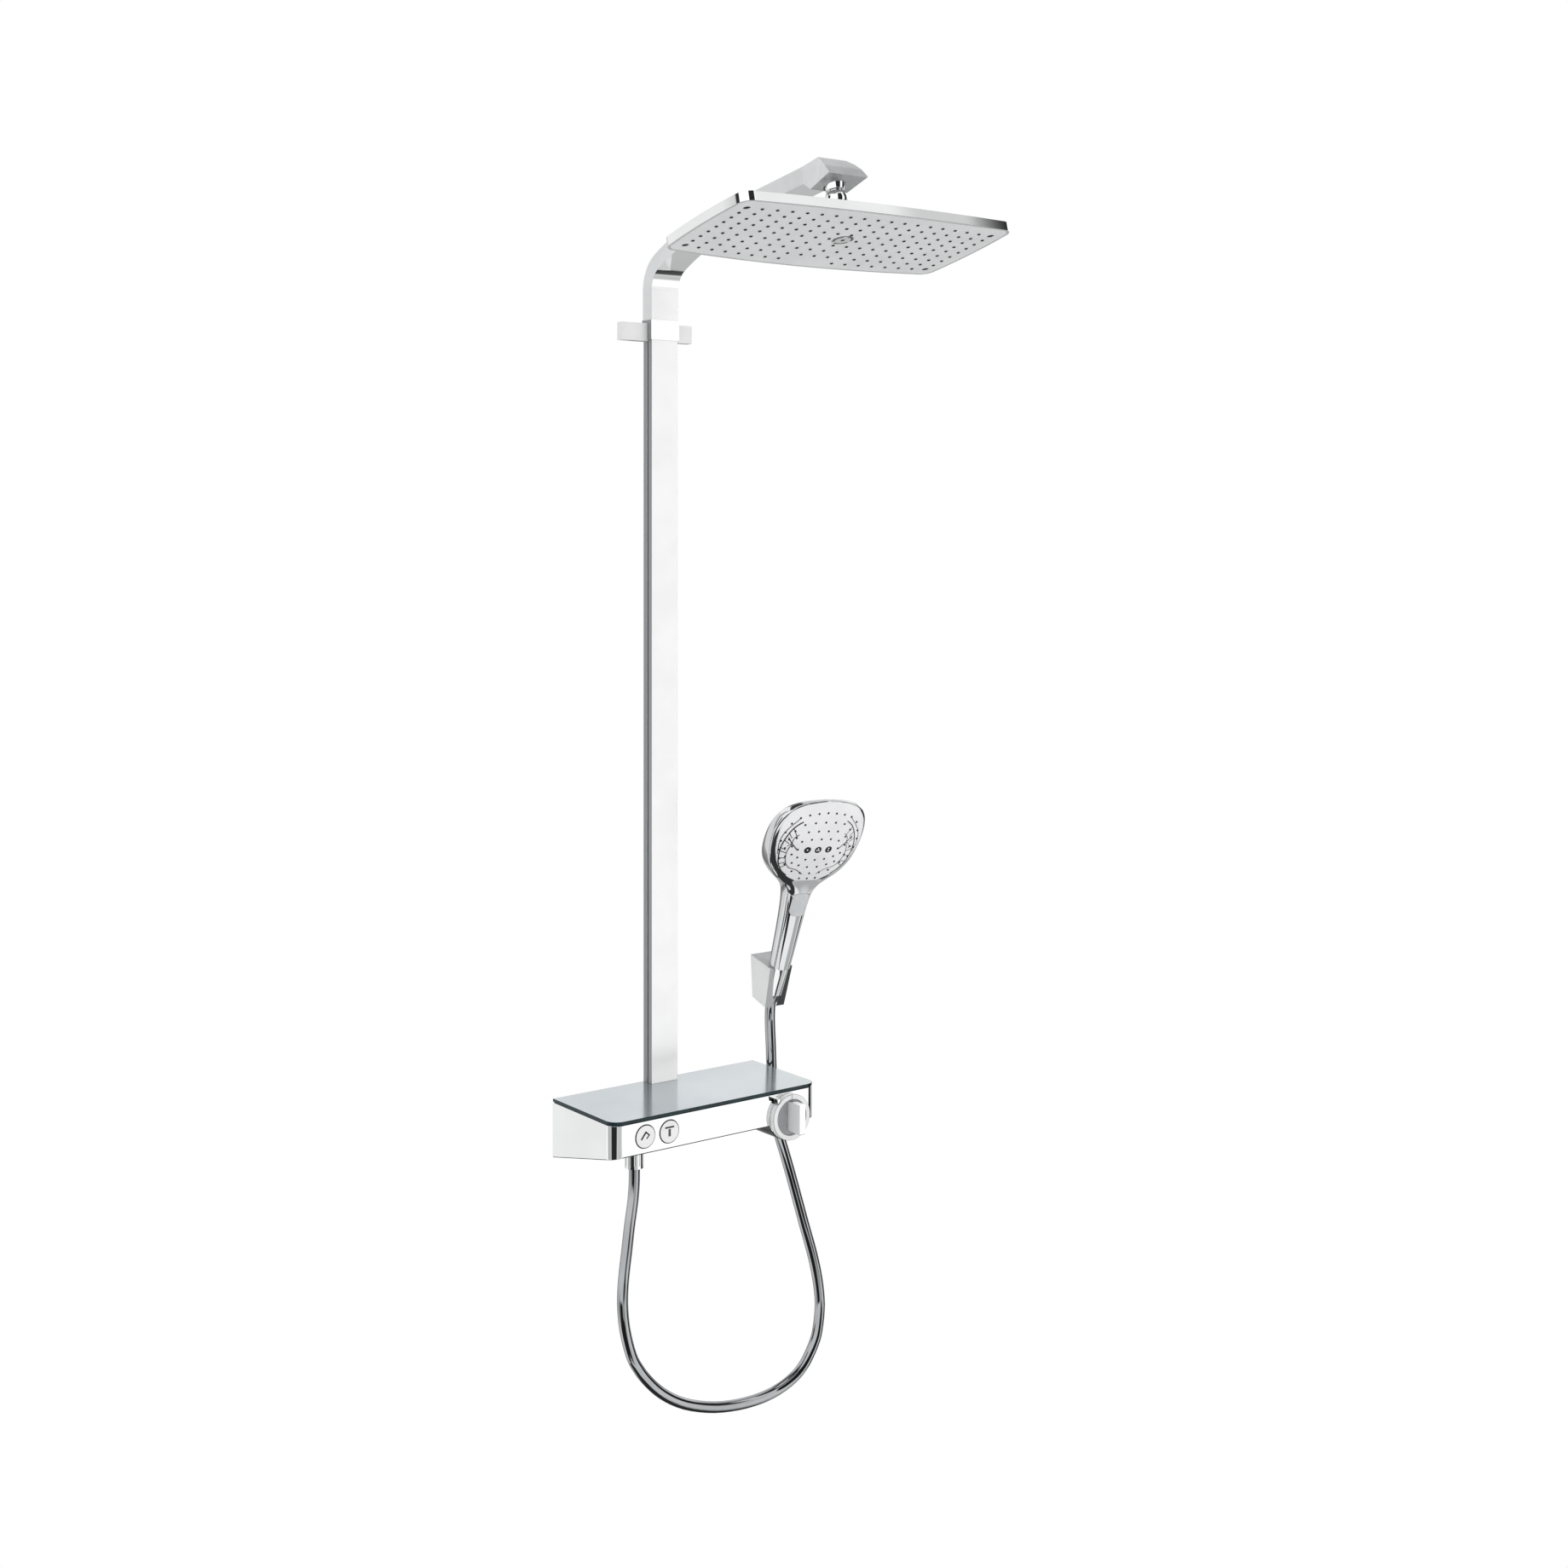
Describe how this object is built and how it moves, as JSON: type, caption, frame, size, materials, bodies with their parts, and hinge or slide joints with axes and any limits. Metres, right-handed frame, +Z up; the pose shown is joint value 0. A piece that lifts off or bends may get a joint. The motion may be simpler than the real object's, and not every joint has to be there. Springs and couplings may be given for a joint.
{
  "type": "shower column",
  "caption": "Wall-mounted shower column: thermostatic mixer with glass shelf and push selectors, riser, arm with tilting rain head, handset in a wall holder, and hose",
  "frame": {"origin": "on the wall, midway between the two water inlets", "axes": "+Z up, +Y into the wall, +X to the right as seen by the user"},
  "size_m": [0.4371, 0.4865, 1.5605],
  "materials": {
    "chrome": "polished chrome plating",
    "satin_chrome": "satin chrome-look face",
    "steel": "plain steel",
    "brass": "machined brass",
    "white_plastic": "moulded white",
    "light_grey": "smooth light grey",
    "grey_plastic": "matte grey",
    "rubber": "soft black",
    "nozzle_rubber": "soft grey",
    "glass": "mirror-coated safety glass"
  },
  "bodies": {
    "column": {"mixer_body": "chrome", "glass_shelf": "glass", "shelf_gasket": "rubber", "wall_plate": "steel", "waterway_block": "brass", "inlet_union_left": "brass", "inlet_union_right": "brass", "union_nut_left": "brass", "union_nut_right": "brass", "inlet_washers": "rubber", "check_valves": "white_plastic", "thermostat_cartridge": "white_plastic", "select_valve_hand": "white_plastic", "select_valve_overhead": "white_plastic", "scale_ring": "light_grey", "hose_outlet": "chrome", "body_grub_screws": "steel", "riser_elbow": "brass", "riser_column": "chrome", "riser_tube": "steel", "bracket_cover": "chrome", "bracket_lugs": "steel", "bracket_grub_screws": "steel", "column_joint": "steel", "shower_arm": "chrome", "arm_tube": "steel", "ball_collar": "chrome", "ball_stud": "steel", "hose_outlet_nut": "chrome", "shower_hose": "chrome", "outlet_washer": "rubber", "holder_body": "chrome", "holder_plate": "steel", "holder_liner": "grey_plastic"},
    "head_seat": {"seat_ring": "white_plastic"},
    "head_seal": {"ball_seal": "rubber"},
    "rain_head": {"ball_housing": "chrome", "head_cover": "chrome", "spray_face": "satin_chrome", "nozzle_mat": "nozzle_rubber", "flow_plate": "white_plastic", "air_intake": "chrome", "head_screws": "steel"},
    "thermostat_knob": {"thermostat_handle": "chrome", "handle_sleeve": "white_plastic"},
    "safety_stop": {"safety_button": "chrome"},
    "hand_button": {"select_button_hand": "light_grey"},
    "overhead_button": {"select_button_overhead": "light_grey"},
    "handset": {"handset_shell": "chrome", "handset_face": "light_grey", "handset_nozzles": "nozzle_rubber", "handset_nipple": "brass", "handset_filter": "rubber", "hose_cone_nut": "chrome"},
    "spray_select": {"handset_button": "grey_plastic"}
  },
  "joints": [
    {"name": "head_pitch", "type": "hinge", "parent": "column", "child": "head_seat", "pos_m": [0, -0.37382, 1.13196], "axis": [1, 0, 0], "range_deg": [-10, 10]},
    {"name": "head_roll", "type": "hinge", "parent": "head_seat", "child": "head_seal", "pos_m": [0, -0.37382, 1.13196], "axis": [0, -0.9736, 0.2284], "range_deg": [-10, 10]},
    {"name": "head_turn", "type": "hinge", "parent": "head_seal", "child": "rain_head", "pos_m": [0, -0.37382, 1.13196], "axis": [0, 0.2284, 0.9736], "continuous": true},
    {"name": "thermostat_turn", "type": "hinge", "parent": "column", "child": "thermostat_knob", "pos_m": [0.1085, -0.145, 0.0045], "axis": [0, -1, 0], "range_deg": [-120, 40]},
    {"name": "safety_press", "type": "slide", "parent": "column", "child": "safety_stop", "axis": [0, 1, 0], "range_m": [0, 0.002], "stiffness_N_per_m": 400},
    {"name": "hand_press", "type": "slide", "parent": "column", "child": "hand_button", "axis": [0, 1, 0], "range_m": [0, 0.003], "stiffness_N_per_m": 350},
    {"name": "overhead_press", "type": "slide", "parent": "column", "child": "overhead_button", "axis": [0, 1, 0], "range_m": [0, 0.003], "stiffness_N_per_m": 350},
    {"name": "handset_lift", "type": "slide", "parent": "column", "child": "handset", "axis": [0, -0.342, 0.9397], "range_m": [0, 0.07]},
    {"name": "spray_press", "type": "slide", "parent": "handset", "child": "spray_select", "axis": [0.1392, 0.9305, 0.3387], "range_m": [0, 0.0015], "stiffness_N_per_m": 500}
  ]
}
